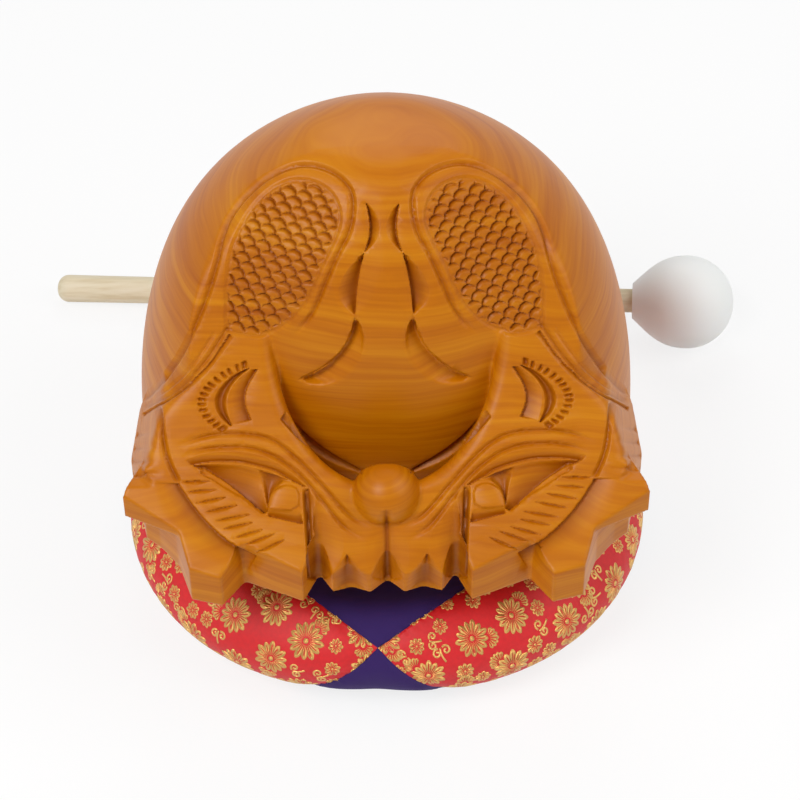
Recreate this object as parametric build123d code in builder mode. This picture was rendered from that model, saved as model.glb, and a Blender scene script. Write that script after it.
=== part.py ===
"""Mokugyo: a carved wooden fish drum on its round cushion, with its striker lying behind it.

Millimetres, +Z up. The origin is on the floor under the middle of the cushion, and the carved
handle of the drum faces -Y.
"""
import os
from math import asin, cos, degrees, radians, sin, sqrt, tan

from build123d import *

os.makedirs("parts", exist_ok=True)

# Driving dimensions of the cushion
cushion_radius = 126.0         # from the axis to a seam tip, at the fullest height
cushion_bulge_ratio = 1.06     # how far each quarter swells past a circle, at its middle
cushion_rounding = 36.0        # width of the rounded side, seen in section
cushion_thickness = 58.0
cushion_turn = -2.4            # degrees, how the cushion lies under the drum
cover_thickness = 1.5
stuffing_clearance = 0.2
seam_height = 44.0             # height of the four seam tips
upper_seam_lean = 32.0         # degrees, how the upper seams lean outwards above the tips
lower_seam_spread = 46.0       # degrees, how the lower seams spread to each side below a tip
floor_seam_height = 3.0        # height of the lower seams at the middle of a lozenge

# Driving dimensions of the turned drum
drum_radius = 117.0
drum_base_radius = 66.0
drum_height = 198.0
drum_waist_rise = 38.7         # from the base up to the widest section
drum_fullness = 2.3            # exponent of the dome's curve, 2 is an ellipse
crown_flat_radius = 3.0        # of the small flat where the lathe held the block
drum_front_reach = 68.0        # how far the dome reaches forward behind the handle
drum_front_overlap = 6.0       # how far behind the axis the cut back front starts
seat_height = 44.0             # bottom of the dish that the drum presses into the cushion
seat_clearance = 0.3

# Driving dimensions of the chamber and its slit
wall_thickness = 18.0
slit_height = 7.0
slit_drop = 7.5                # from the waist down to the middle of the slit
slit_start = 16.0              # where the slit ends at the sides, behind the middle
slit_end_diameter = 13.0

# Driving dimensions of the carved handle
handle_underside_rise = 41.7   # from the base of the drum
handle_front = 130.0           # reach of the foremost fins
handle_start = 30.0            # from the axis to where the handle's node meets the drum's node
handle_overhang = 0.5          # how far the handle's sides stand out past the drum
fin_tip_inset = 0.5            # of the two pointed fins, from the handle's sides
finger_gap_radius = 50.5
finger_gap_setback = 41.0      # from the axis to the middle of the gap's arc
jewel_radius = 15.0
jewel_setback = 96.5
jewel_rise = 79.0              # from the base of the drum to the jewel's middle
fin_rise = 68.0                # from the base of the drum to the underside of the pointed fins
fin_thickness = 16.0
flank_foot_rise = 64.0         # from the base of the drum to where the flanks leave the outline
flank_top_rise = 106.0
flank_top_half_width = 100.0
brow_rise = 150.0              # from the base of the drum to the top of the slope above the flanks
brow_half_width = 45.0

# Driving dimensions of the main carved forms
sickle_depth = 5.0             # of each stop cut, level
eye_depth = 3.5
rim_radius = 6.0               # of the roll round the finger gap
lip_half_width = 31.0          # of the mouth between the two front fins
lip_setback = 100.0            # from the axis to where the lips start to slope
lip_rise = 79.7                # from the base of the drum to that line
lip_slope = 1.14

# Drawn lines of the carving, each half of a mirrored pair. The handle, its pointed fin and the eye are seen
# from above, across and back. The face is the side view of the handle's slope, back and up from the base.
handle_half_width = drum_radius + handle_overhang
fin_tip_reach = handle_half_width - fin_tip_inset
handle_outline = (
    (0, -115.5),
    (7.5, -123.0),
    (16.0, -120.0),
    (24.5, -122.5),
    (30.5, -112.5),
    (37.5, -128.0),
    (64.0, -116.0),
    (73.5, -handle_front),
    (87.5, -126.0),
    (handle_half_width - 23.5, -106.5),
    (handle_half_width - 14.5, -95.0),
    (handle_half_width - 7.5, -89.0),
    (handle_half_width - 5.0, -77.5),
    (handle_half_width, -60.0),
    (handle_half_width - 3.0, -34.0),
    (handle_half_width - 14.5, -22.0),
    (0, -22.0),
)
fin_outline = (
    (fin_tip_reach - 29.0, -114.0),
    (fin_tip_reach, -99.0),
    (fin_tip_reach - 11.0, -72.0),
    (fin_tip_reach - 37.0, -70.0),
)
face_curve = ((-handle_front, 61.0), (-95.0, 85.0), (-60.0, 122.0), (-25.0, 178.0), (0, 218.0))
eye_outline = ((86.0, -89.5), (66.0, -88.5), (47.0, -92.5), (54.0, -106.0), (63.0, -100.0))

# The sickle cuts beside the middle of the drum's front: for each its two ends, the middle of its stop cut and
# the middle of its pared edge, across and up from the base of the drum
sickles = (
    ((7.3, 187.4), (8.0, 171.8), (5.8, 178.5), (0.9, 179.4)),
    ((8.7, 169.8), (12.8, 147.2), (11.4, 158.0), (20.0, 157.4)),
    ((12.8, 145.6), (38.9, 111.4), (18.5, 130.0), (11.5, 124.5)),
)

# Driving dimensions of the striker
striker_length = 370.0
striker_clearance = 15.5       # from the cushion to the stick
striker_yaw = -6.0             # degrees
striker_shift = 2.5            # how far the striker's middle lies to the right
grip_radius = 7.5
neck_radius = 6.35
grip_rounding = 6.0
head_radius = 25.0
head_length = 54.0
head_neck_radius = 9.5
bore_depth = 28.0
bore_clearance = 0.05

# Heights that follow from the sizes above
base_height = seat_height + seat_clearance
waist_height = base_height + drum_waist_rise
crown_rise = drum_height - drum_waist_rise
underside_height = base_height + handle_underside_rise
handle_plane = Plane.XZ.offset(handle_start)


# Cushion

def cushion_plane(height):
    """A level plane that is turned as the cushion lies."""
    return Plane(origin=(0, 0, height), x_dir=(cos(radians(cushion_turn)), sin(radians(cushion_turn)), 0))


def cushion_form(inset):
    """The stuffed cushion, drawn in by an inset: a rounded square lofted bottom to top, then dished."""
    half = cushion_thickness / 2
    with BuildPart() as form:
        for angle in (-90, -60, -30, 0, 30, 60, 90):
            level = half + (half - inset) * sin(radians(angle))
            tip = cushion_radius - cushion_rounding + (cushion_rounding - inset) * cos(radians(angle))
            swell = tip * cushion_bulge_ratio / sqrt(2)
            with BuildSketch(cushion_plane(level)):
                with BuildLine():
                    ThreePointArc((tip, 0), (swell, swell), (0, tip))
                    ThreePointArc((0, tip), (-swell, swell), (-tip, 0))
                    ThreePointArc((-tip, 0), (-swell, -swell), (0, -tip))
                    ThreePointArc((0, -tip), (swell, -swell), (tip, 0))
                make_face()
        loft()
        with BuildSketch(Plane.XZ):
            with BuildLine():
                floor_of_dish = seat_height - inset
                Line((0, floor_of_dish), (drum_base_radius, floor_of_dish))
                EllipticalCenterArc(
                    (drum_base_radius, floor_of_dish + drum_waist_rise),
                    drum_radius - drum_base_radius,
                    drum_waist_rise,
                    start_angle=270,
                    arc_size=90,
                )
                Polyline(
                    (drum_radius, floor_of_dish + drum_waist_rise),
                    (0, floor_of_dish + drum_waist_rise),
                    (0, floor_of_dish),
                )
            make_face()
        revolve(axis=Axis.Z, mode=Mode.SUBTRACT)
    return form.part


with BuildPart() as cushion_core:
    add(cushion_form(cover_thickness + stuffing_clearance))
cushion_core.part.label = "cushion_core"
export_step(cushion_core.part, "parts/cushion_core.step")


def seam_tip_radius():
    """Distance from the axis to a seam tip, on the cushion's side at the seams' height."""
    half = cushion_thickness / 2
    rise = (seam_height - half) / half
    return cushion_radius - cushion_rounding + cushion_rounding * sqrt(1 - rise**2)


seam_reach = seam_tip_radius() / sqrt(2)
seam_beyond = 2 * cushion_radius
brocade_facings = {"back_right": 45, "back_left": 135, "front_left": 225, "front_right": 315}


def cushion_direction(facing):
    """A level direction at an angle from the cushion's own X axis."""
    return Vector(1, 0, 0).rotate(Axis.Z, facing + cushion_turn)


def brocade_space(facing):
    """The quarter of space outside the upper seam of one brocade lozenge."""
    outward = cushion_direction(facing)
    top_spread = 2 * cushion_thickness * tan(radians(upper_seam_lean))
    with BuildPart() as space:
        with BuildSketch(Plane(origin=(0, 0, 0), x_dir=outward, z_dir=outward.rotate(Axis.Z, -90))):
            with BuildLine():
                Polyline(
                    (seam_reach - top_spread, seam_height - 2 * cushion_thickness),
                    (seam_reach + top_spread, seam_height + 2 * cushion_thickness),
                    (2 * seam_beyond, seam_height + 2 * cushion_thickness),
                    (2 * seam_beyond, seam_height - 2 * cushion_thickness),
                    close=True,
                )
            make_face()
        extrude(amount=2 * seam_beyond, both=True)
        with BuildSketch(Plane(origin=(0, 0, 0), x_dir=cushion_direction(facing - 45))):
            Rectangle(seam_beyond, seam_beyond, align=(Align.MIN, Align.MIN))
        extrude(amount=2 * seam_beyond, both=True, mode=Mode.INTERSECT)
    return space.part


with BuildPart() as cover:
    add(cushion_form(0))
    add(cushion_form(cover_thickness), mode=Mode.SUBTRACT)

with BuildPart() as under_side:
    with BuildSketch():
        Circle(seam_beyond)
    extrude(amount=floor_seam_height)
    half_spread = seam_height * tan(radians(lower_seam_spread))
    for facing in (0, 90, 180, 270):
        outward = cushion_direction(facing)
        with BuildSketch(Plane(seam_reach * outward, x_dir=outward.rotate(Axis.Z, 90), z_dir=outward)):
            with BuildLine():
                Polyline((-half_spread, 0), (half_spread, 0), (0, seam_height), close=True)
            make_face()
        extrude(amount=seam_beyond)

for corner, facing in brocade_facings.items():
    with BuildPart() as brocade_panel:
        add(cover.part)
        add(brocade_space(facing), mode=Mode.INTERSECT)
        add(under_side.part, mode=Mode.SUBTRACT)
    brocade_panel.part.label = f"cushion_brocade_{corner}"
    export_step(brocade_panel.part, f"parts/cushion_brocade_{corner}.step")

with BuildPart() as cushion_bottom_panel:
    add(cover.part)
    add(under_side.part, mode=Mode.INTERSECT)
cushion_bottom_panel.part.label = "cushion_bottom_panel"
export_step(cushion_bottom_panel.part, "parts/cushion_bottom_panel.step")

with BuildPart() as cushion_top_panel:
    add(cover.part)
    for facing in brocade_facings.values():
        add(brocade_space(facing), mode=Mode.SUBTRACT)
    add(under_side.part, mode=Mode.SUBTRACT)
cushion_top_panel.part.label = "cushion_top_panel"
export_step(cushion_top_panel.part, "parts/cushion_top_panel.step")


# Drum

def turned_block(inset):
    """The lathe-turned block, or the chamber inside it where it is drawn in by an inset."""
    radius = drum_radius - inset
    base = base_height + inset
    rise = waist_height - base
    base_edge = drum_base_radius - inset
    crown = crown_rise - inset
    power = 2 / drum_fullness
    dome = []
    for angle in (0, 22.5, 45, 67.5, 90):
        across = radius * max(cos(radians(angle)), 0) ** power
        dome.append((across, waist_height + crown * sin(radians(angle)) ** power))
    dome[-1] = (crown_flat_radius, waist_height + crown)
    with BuildPart() as block:
        with BuildSketch(Plane.XZ):
            with BuildLine():
                Line((0, base), (base_edge, base))
                EllipticalCenterArc(
                    (base_edge, waist_height), radius - base_edge, rise, start_angle=270, arc_size=90
                )
                Spline(*dome, tangents=((0, 1), (-1, 0)))
                Polyline(dome[-1], (0, waist_height + crown), (0, base))
            make_face()
        revolve(axis=Axis.Z)
    return block.part


def squeezed_front(inset, reach):
    """The front half of the turned shape, cut back to a reach."""
    with BuildPart() as half:
        add(turned_block(inset))
        split(bisect_by=Plane.XZ, keep=Keep.TOP)
        scale(by=(1, (reach + drum_front_overlap) / (drum_radius - inset), 1))
        split(bisect_by=Plane.XZ.offset(drum_front_overlap), keep=Keep.TOP)
    return half.part.moved(Location((0, drum_front_overlap, 0)))


def back_half(inset):
    """The back half of the turned shape."""
    with BuildPart() as half:
        add(turned_block(inset))
        split(bisect_by=Plane.XZ, keep=Keep.BOTTOM)
    return half.part


# Carved handle, two fish mouth to mouth

flank_slope = (handle_half_width - flank_top_half_width) / (flank_top_rise - flank_foot_rise)
flank_base_half_width = flank_top_half_width + flank_slope * flank_top_rise

with BuildPart() as handle_blank:
    with BuildSketch(Plane.XY.offset(underside_height)):
        with BuildLine():
            Polyline(*handle_outline, close=True)
        make_face()
        mirror(about=Plane.YZ)
    extrude(amount=drum_height)
    with BuildSketch(Plane.XZ):
        with BuildLine():
            Polyline(
                (0, base_height),
                (flank_base_half_width, base_height),
                (flank_top_half_width, base_height + flank_top_rise),
                (brow_half_width, base_height + brow_rise),
                (0, base_height + brow_rise),
                close=True,
            )
        make_face()
        mirror(about=Plane.YZ)
    extrude(amount=2 * handle_front, both=True, mode=Mode.INTERSECT)
    with BuildSketch(Plane.XY.offset(base_height + fin_rise)):
        with BuildLine():
            Polyline(*fin_outline, close=True)
        make_face()
        mirror(about=Plane.YZ)
    extrude(amount=fin_thickness)

with BuildPart() as face_blank:
    with BuildSketch(Plane.YZ):
        with BuildLine():
            face = Spline(*[(y, base_height + rise) for y, rise in face_curve])
            Polyline(face @ 1, (0, base_height), (-handle_front, base_height), face @ 0)
        make_face()
    extrude(amount=2 * drum_radius, both=True)

with BuildPart() as eye_cuts:
    with BuildSketch(Plane.XY.offset(base_height)):
        with BuildLine():
            Polyline(*eye_outline, close=True)
        make_face()
        mirror(about=Plane.YZ)
    extrude(amount=drum_height)
    add(face_blank.part.moved(Location((0, 0, -eye_depth))), mode=Mode.SUBTRACT)

with BuildPart() as lip_cut:
    lip_line = Vector(0, -lip_setback, base_height + lip_rise)
    with Locations(lip_line):
        Box(2 * lip_half_width, lip_setback, lip_setback)
    split(bisect_by=Plane(lip_line, x_dir=(1, 0, 0), z_dir=(0, -lip_slope, 1)), keep=Keep.TOP)


def on_front(across, rise):
    """The point of the cut back front of the drum at a place across and a rise from the base."""
    height = base_height + rise
    section = (1 - ((height - waist_height) / crown_rise) ** drum_fullness) ** (1 / drum_fullness)
    stretch = (drum_front_reach + drum_front_overlap) / drum_radius
    setback = stretch * sqrt((drum_radius * section) ** 2 - across**2) - drum_front_overlap
    return Vector(across, -setback, height)


def sickle_cut(first, last, stop, edge):
    """A slope that is pared from the edge down to the stop cut, as the wood that it takes away."""
    deep = on_front(*stop) + Vector(0, sickle_depth, 0)
    chord = on_front(*last) - on_front(*first)
    upward = chord.cross(deep - on_front(*edge))
    if upward.Y > 0:
        upward = -upward
    with BuildPart() as cut:
        with BuildSketch(Plane.XZ):
            with BuildLine():
                top, foot, stop_middle, edge_middle = [
                    (across, base_height + rise) for across, rise in (first, last, stop, edge)
                ]
                ThreePointArc(top, stop_middle, foot)
                ThreePointArc(foot, edge_middle, top)
            make_face()
        extrude(amount=drum_radius)
        split(bisect_by=Plane(deep, z_dir=upward), keep=Keep.TOP)
    return cut.part


with BuildPart() as finger_gap:
    with BuildSketch(Plane.XY.offset(base_height)):
        with Locations((0, -finger_gap_setback)):
            Circle(finger_gap_radius)
    extrude(amount=2 * drum_height)

with BuildPart() as jewel:
    with Locations((0, -jewel_setback, base_height + jewel_rise)):
        Sphere(jewel_radius, rotation=(0, 90, 0))
    add(finger_gap.part, mode=Mode.SUBTRACT)

with BuildPart() as front_of_block:
    add(turned_block(0))
    split(bisect_by=Plane.XZ, keep=Keep.TOP)
    split(bisect_by=Plane.XY.offset(underside_height), keep=Keep.TOP)
    add(handle_blank.part)
    add(face_blank.part, mode=Mode.INTERSECT)
    add(finger_gap.part, mode=Mode.SUBTRACT)
    rim = front_of_block.faces().filter_by(GeomType.CYLINDER).edges().filter_by(GeomType.BSPLINE)
    fillet(rim.sort_by(SortBy.LENGTH)[-1], rim_radius)
    add(lip_cut.part, mode=Mode.SUBTRACT)
    add(eye_cuts.part, mode=Mode.SUBTRACT)
    add(jewel.part)

with BuildPart() as handle_roots:
    add(front_of_block.part)
    split(bisect_by=handle_plane, keep=Keep.BOTTOM)

with BuildPart() as mokugyo_drum:
    add(back_half(0))
    add(squeezed_front(0, drum_front_reach))
    add(handle_roots.part)
    add(back_half(wall_thickness), mode=Mode.SUBTRACT)
    add(squeezed_front(wall_thickness, drum_front_reach - wall_thickness), mode=Mode.SUBTRACT)
    for sickle in sickles:
        cut = sickle_cut(*sickle)
        add(cut, mode=Mode.SUBTRACT)
        add(cut.mirror(Plane.YZ), mode=Mode.SUBTRACT)
    slit_level = waist_height - slit_drop
    with Locations((0, slit_start + drum_radius, slit_level)):
        Box(4 * drum_radius, 2 * drum_radius, slit_height, mode=Mode.SUBTRACT)
    with Locations((0, slit_start, slit_level)):
        Cylinder(slit_end_diameter / 2, 4 * drum_radius, rotation=(0, 90, 0), mode=Mode.SUBTRACT)
mokugyo_drum.part.label = "mokugyo_drum"
export_step(mokugyo_drum.part, "parts/mokugyo_drum.step")

with BuildPart() as mokugyo_handle:
    add(front_of_block.part)
    split(bisect_by=handle_plane, keep=Keep.TOP)
    add(squeezed_front(0, drum_front_reach), mode=Mode.SUBTRACT)
mokugyo_handle.part.label = "mokugyo_handle"
export_step(mokugyo_handle.part, "parts/mokugyo_handle.step")


# Striker, lying on the floor on its grip end and its head

head_start = striker_length - head_length
head_widest = striker_length - head_radius
stick_length = head_start + bore_depth
lean = degrees(asin((head_radius - grip_radius) / (striker_length - head_radius)))
striker_back = cushion_radius + striker_clearance + grip_radius
grip_end = Vector(-striker_length / 2 + striker_shift, 0, 0).rotate(Axis.Z, striker_yaw)
along = Vector(1, 0, 0).rotate(Axis.Y, -lean).rotate(Axis.Z, striker_yaw)
striker_plane = Plane(
    origin=grip_end + Vector(0, striker_back, grip_radius / cos(radians(lean))),
    x_dir=along,
    z_dir=Vector(0, -1, 0).rotate(Axis.Z, striker_yaw),
)
striker_axis = Axis(striker_plane.origin, striker_plane.x_dir)

with BuildPart() as striker_stick:
    with BuildSketch(striker_plane) as stick_section:
        with BuildLine():
            Polyline(
                (0, 0),
                (stick_length, 0),
                (stick_length, neck_radius),
                (head_start, neck_radius),
                (0, grip_radius),
                close=True,
            )
        make_face()
        fillet(stick_section.vertices().group_by(Axis.X)[0].sort_by(Axis.Y)[-1], grip_rounding)
    revolve(axis=striker_axis)
striker_stick.part.label = "striker_stick"
export_step(striker_stick.part, "parts/striker_stick.step")

with BuildPart() as striker_head:
    with BuildSketch(striker_plane):
        with BuildLine():
            side = Spline(
                (head_start, head_neck_radius), (head_widest, head_radius), tangents=((0.75, 0.65), (1, 0))
            )
            RadiusArc(side @ 1, (striker_length, 0), head_radius)
            Polyline((striker_length, 0), (head_start, 0), side @ 0)
        make_face()
    revolve(axis=striker_axis)
    with BuildSketch(Plane(striker_plane.origin + head_start * along, z_dir=along)):
        Circle(neck_radius + bore_clearance)
    extrude(amount=bore_depth + bore_clearance, mode=Mode.SUBTRACT)
striker_head.part.label = "striker_head"
export_step(striker_head.part, "parts/striker_head.step")
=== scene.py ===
# %% [markdown]
# # A mokugyo: carved wooden fish drum, brocade cushion and striker
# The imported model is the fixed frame: it holds every piece at its real place. This lesson dresses it. The
# drum is carved, the cushion is stuffed and sewn, and each surface gets the finish of its real material.

# %% Load the frame
import math

import bmesh
import bpy
import numpy as np
from mathutils import Matrix, Vector
from mathutils.bvhtree import BVHTree
from mathutils.geometry import barycentric_transform
from mathutils.kdtree import KDTree


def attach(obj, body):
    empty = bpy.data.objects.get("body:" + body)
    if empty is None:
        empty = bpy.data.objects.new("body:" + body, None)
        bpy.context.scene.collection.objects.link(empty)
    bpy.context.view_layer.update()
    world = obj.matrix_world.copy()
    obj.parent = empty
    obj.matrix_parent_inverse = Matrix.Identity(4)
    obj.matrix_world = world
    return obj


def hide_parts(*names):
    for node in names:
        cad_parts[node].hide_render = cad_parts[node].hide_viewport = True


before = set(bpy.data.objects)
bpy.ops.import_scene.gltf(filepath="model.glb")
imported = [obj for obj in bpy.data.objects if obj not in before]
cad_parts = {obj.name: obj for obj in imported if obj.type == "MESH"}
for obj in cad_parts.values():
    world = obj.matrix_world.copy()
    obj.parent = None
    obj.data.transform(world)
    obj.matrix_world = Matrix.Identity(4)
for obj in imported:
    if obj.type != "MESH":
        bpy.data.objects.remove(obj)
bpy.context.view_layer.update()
scene = bpy.context.scene
MM = 0.001

# %% [markdown]
# ## The camera
# The picture was taken from the handle's side, looking down by half a right angle, with a long lens. The
# same view also serves as the carver's eye: lines of the carving are written as pixels of this view and
# thrown onto the wood. The camera is therefore built from its own three directions, which the projection
# below can use as well.

# %% Place the camera
PHOTO_SIDE = 800                          # pixels along each side of the picture
LOOK_DOWN = math.radians(45.0)
ROLL = math.radians(0.66)
DISTANCE = 1200 * MM
LOOK_AT = Vector((6.5, 0, 85)) * MM
PIXELS_PER_METRE = 2070.0                 # at the distance of the point that the camera looks at
NEAREST_SEEN = 0.05

level_right = Vector((1, 0, 0))
level_up = Vector((0, math.sin(LOOK_DOWN), math.cos(LOOK_DOWN)))
view_back = Vector((0, -math.cos(LOOK_DOWN), math.sin(LOOK_DOWN)))
view_right = level_right * math.cos(ROLL) - level_up * math.sin(ROLL)
view_up = level_right * math.sin(ROLL) + level_up * math.cos(ROLL)
eye = LOOK_AT + view_back * DISTANCE

camera_data = bpy.data.cameras.new("photo_view")
camera_data.sensor_fit = "HORIZONTAL"
camera_data.angle = 2 * math.atan(PHOTO_SIDE / 2 / PIXELS_PER_METRE / DISTANCE)
camera_data.clip_start = NEAREST_SEEN
camera = bpy.data.objects.new("photo_view", camera_data)
scene.collection.objects.link(camera)
view_axes = Matrix((view_right, view_up, view_back)).transposed()
camera.matrix_world = Matrix.Translation(eye) @ view_axes.to_4x4()
scene.camera = camera


def to_pixels(points):
    """Pixels of the picture, from the top left, where points of the frame are seen."""
    from_target = np.asarray(points) - np.array(LOOK_AT)
    scale = PIXELS_PER_METRE * DISTANCE / (DISTANCE - from_target @ np.array(view_back))
    across = from_target @ np.array(view_right) * scale
    upward = from_target @ np.array(view_up) * scale
    return np.stack([PHOTO_SIDE / 2 + across, PHOTO_SIDE / 2 - upward], axis=-1)


print("camera lens angle", round(math.degrees(camera_data.angle), 2), "degrees")

# %% [markdown]
# ## Colours and nodes
# Colours are written as a picture editor shows them, as sRGB hex values, but shaders count in linear light.
# One function turns the one into the other, and one adds a node with its settings, so each material below
# is a short list.

# %% Helpers for materials
def linear(hex_colour):
    """An sRGB hex colour as the linear colour that shaders use."""
    channels = [int(hex_colour[i:i + 2], 16) / 255 for i in (1, 3, 5)]
    return tuple(c / 12.92 if c <= 0.04045 else ((c + 0.055) / 1.055) ** 2.4 for c in channels) + (1.0,)


def node(tree, kind, inputs=None, stops=(), **settings):
    """Adds a node with its properties and colour stops, and sets or links its inputs."""
    made = tree.nodes.new(kind)
    for name, value in settings.items():
        setattr(made, name, value)
    for name, value in (inputs or {}).items():
        if isinstance(value, bpy.types.NodeSocket):
            tree.links.new(value, made.inputs[name])
        else:
            made.inputs[name].default_value = value
    while stops and len(made.color_ramp.elements) < len(stops):
        made.color_ramp.elements.new(0.5)
    for index, (position, hex_colour) in enumerate(stops):
        made.color_ramp.elements[index].position = position
        made.color_ramp.elements[index].color = linear(hex_colour)
    return made


def material(name):
    """A new material, its node tree and its surface shader."""
    made = bpy.data.materials.new(name)
    made.use_nodes = True
    tree = made.node_tree
    return made, tree, tree.nodes["Principled BSDF"]


print("white is", linear("#FFFFFF"))

# %% [markdown]
# ## Light and floor
# The drum stands on a white sheet that runs out of the picture, under large soft lamps: one from the left
# front, a weaker one from the right and one from behind. Large lamps give the broad, soft shine on the
# dome. The sky adds only a little light, or it would wash out the carving, but it looks plain white where
# it is seen or mirrored.

# %% Hang the lamps
LAMPS = {                                 # place and width in metres, power in watts
    "key": ((-0.8, -0.9, 1.5), 0.8, 21),
    "fill": ((1.2, -0.4, 1.3), 1.2, 12),
    "back": ((0.1, 1.2, 1.3), 1.0, 6),
}
LIT_SPOT = Vector((0, 0, 0.1))

scene.view_settings.view_transform = "Standard"
for name, (place, width, power) in LAMPS.items():
    light = bpy.data.lights.new(name, "AREA")
    light.size = width
    light.energy = power
    hung = bpy.data.objects.new(name, light)
    scene.collection.objects.link(hung)
    hung.location = place
    hung.rotation_euler = (LIT_SPOT - Vector(place)).to_track_quat("-Z", "Y").to_euler()
print(len(LAMPS), "lamps")

# %% Sky and paper
SKY_LIGHT = 0.26
PAPER_SIDE = 12                           # metres, so that its edge is never in view
PAPER_GLOW = 0.8                          # share of plain white in the floor, and the rest keeps the shadow


def looked_at(tree):
    """1 for a ray that comes from the camera, a reflection or a refraction, and 0 for light on a surface."""
    rays = node(tree, "ShaderNodeLightPath").outputs
    seen = rays["Is Camera Ray"]
    for other in ("Is Glossy Ray", "Is Transmission Ray"):
        seen = node(tree, "ShaderNodeMath", {0: seen, 1: rays[other]}, operation="MAXIMUM").outputs[0]
    return seen


sky = bpy.data.worlds.new("soft light")
scene.world = sky
sky.use_nodes = True
strength = node(sky.node_tree, "ShaderNodeMapRange", {"Value": looked_at(sky.node_tree), "To Min": SKY_LIGHT})
sky.node_tree.nodes["Background"].inputs["Color"].default_value = linear("#FFFFFF")
sky.node_tree.links.new(strength.outputs[0], sky.node_tree.nodes["Background"].inputs["Strength"])

bpy.ops.object.select_all(action="DESELECT")
bpy.ops.mesh.primitive_plane_add(size=PAPER_SIDE)
floor = bpy.context.object
floor.name = "floor"

# Uncoated paper: it scatters all light evenly, so it has no shine, and a soft shadow lies on it.
paper, tree, surface = material("white paper")
surface.inputs["Base Color"].default_value = linear("#F6F6F6")
surface.inputs["Roughness"].default_value = 1.0
surface.inputs["Specular IOR Level"].default_value = 0.0
share = node(tree, "ShaderNodeMath", {0: looked_at(tree), 1: PAPER_GLOW}, operation="MULTIPLY")
white = node(tree, "ShaderNodeEmission", {"Color": linear("#FFFFFF"), "Strength": 1.0})
both = node(tree, "ShaderNodeMixShader", {0: share.outputs[0], 1: surface.outputs[0], 2: white.outputs[0]})
tree.links.new(both.outputs[0], tree.nodes["Material Output"].inputs["Surface"])
floor.data.materials.append(paper)
print("floor of", PAPER_SIDE, "m")

# %% [markdown]
# ## The carved drum
# The real drum is one block of wood: turned to a dome, hollowed through a slit, then carved with gouges.
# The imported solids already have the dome, the hollow, the slit and the handle. They could be carved with
# hundreds of cutting shapes, but a gouge cut follows the surface. So a copy is rebuilt as one even skin of
# small squares, on which a gouge can bite anywhere, and the cuts are pressed into that skin along its
# normals.

# %% Helpers for meshes
MERGE_GAP = 0.02 * MM


def only(piece):
    """Selects one object and makes it active, as a click does."""
    bpy.ops.object.select_all(action="DESELECT")
    piece.select_set(True)
    bpy.context.view_layer.objects.active = piece


def copy_of(node_name, name):
    """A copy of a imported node's mesh with its doubles merged, as a new object."""
    made = bpy.data.objects.new(name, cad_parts[node_name].data.copy())
    scene.collection.objects.link(made)
    made.data.materials.clear()
    only(made)
    bpy.ops.object.mode_set(mode="EDIT")
    bpy.ops.mesh.select_all(action="SELECT")
    bpy.ops.mesh.remove_doubles(threshold=MERGE_GAP)
    bpy.ops.object.mode_set(mode="OBJECT")
    return made


def apply_modifier(piece, kind, **settings):
    """Adds a modifier, sets it and applies it."""
    only(piece)
    modifier = piece.modifiers.new(kind.lower(), kind)
    for name, value in settings.items():
        setattr(modifier, name, value)
    bpy.ops.object.modifier_apply(modifier=modifier.name)


def read_points(mesh, what="co"):
    """The places of a mesh's points, or their normals, as rows of three numbers."""
    values = np.empty(len(mesh.vertices) * 3)
    mesh.vertices.foreach_get(what, values)
    return values.reshape(-1, 3)


def write_points(mesh, points):
    """Moves a mesh's points to new places."""
    mesh.vertices.foreach_set("co", points.ravel())
    mesh.update()


def shade_smooth(mesh):
    """Lets the light run smoothly over every face of a mesh."""
    mesh.polygons.foreach_set("use_smooth", np.ones(len(mesh.polygons), bool))


# %% Take an even skin of the drum
SKIN_STEP = 0.9 * MM

drum = copy_of("mokugyo_drum", "carved_drum")
handle = copy_of("mokugyo_handle", "carved_handle")
only(drum)
handle.select_set(True)
bpy.ops.object.join()
apply_modifier(drum, "REMESH", mode="VOXEL", voxel_size=SKIN_STEP)
apply_modifier(drum, "SMOOTH", factor=0.5, iterations=4)
print("drum skin", len(drum.data.vertices), "points")

# %% [markdown]
# ### The carver's eye
# A gouge line is written once, for the left fish, in pixels of the photo view. Each point of the skin is
# folded to the left half, seen through the camera, and measured against the line, so both fish get the same
# cut. A line needs only a few points, because its corners are cut off until it is round.

# %% Measures along a line
TINY = 1e-6


def rounded(points, rounds=3):
    """A corner-cut copy of a line, smooth enough for a gouge to follow."""
    line = np.asarray(points, float)
    for _ in range(rounds):
        cut = np.empty((2 * (len(line) - 1), 2))
        cut[0::2] = line[:-1] * 0.75 + line[1:] * 0.25
        cut[1::2] = line[:-1] * 0.25 + line[1:] * 0.75
        line = np.vstack([line[:1], cut, line[-1:]])
    return line


def from_line(spots, line):
    """Distance of each spot from a line, and how far along the line that is, from 0 to 1."""
    steps = np.diff(line, axis=0)
    lengths = np.hypot(*steps.T)
    before = np.concatenate([[0], np.cumsum(lengths)])
    best = np.full(len(spots), np.inf)
    along = np.zeros(len(spots))
    for start, step, length, done in zip(line[:-1], steps, lengths, before):
        if length == 0:
            continue
        t = np.clip(((spots - start) @ step) / length**2, 0, 1)
        gap = np.hypot(*(spots - start - t[:, None] * step).T)
        nearer = gap < best
        best[nearer] = gap[nearer]
        along[nearer] = done + t[nearer] * length
    return best, along / before[-1]


def inside(spots, outline):
    """Which spots lie inside a closed outline."""
    within = np.zeros(len(spots), bool)
    x, y = spots.T
    for (x0, y0), (x1, y1) in zip(outline, np.roll(outline, -1, axis=0)):
        if y0 == y1:
            continue
        crosses = (y0 > y) != (y1 > y)
        within ^= crosses & (x < (x1 - x0) * (y - y0) / (y1 - y0) + x0)
    return within


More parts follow.
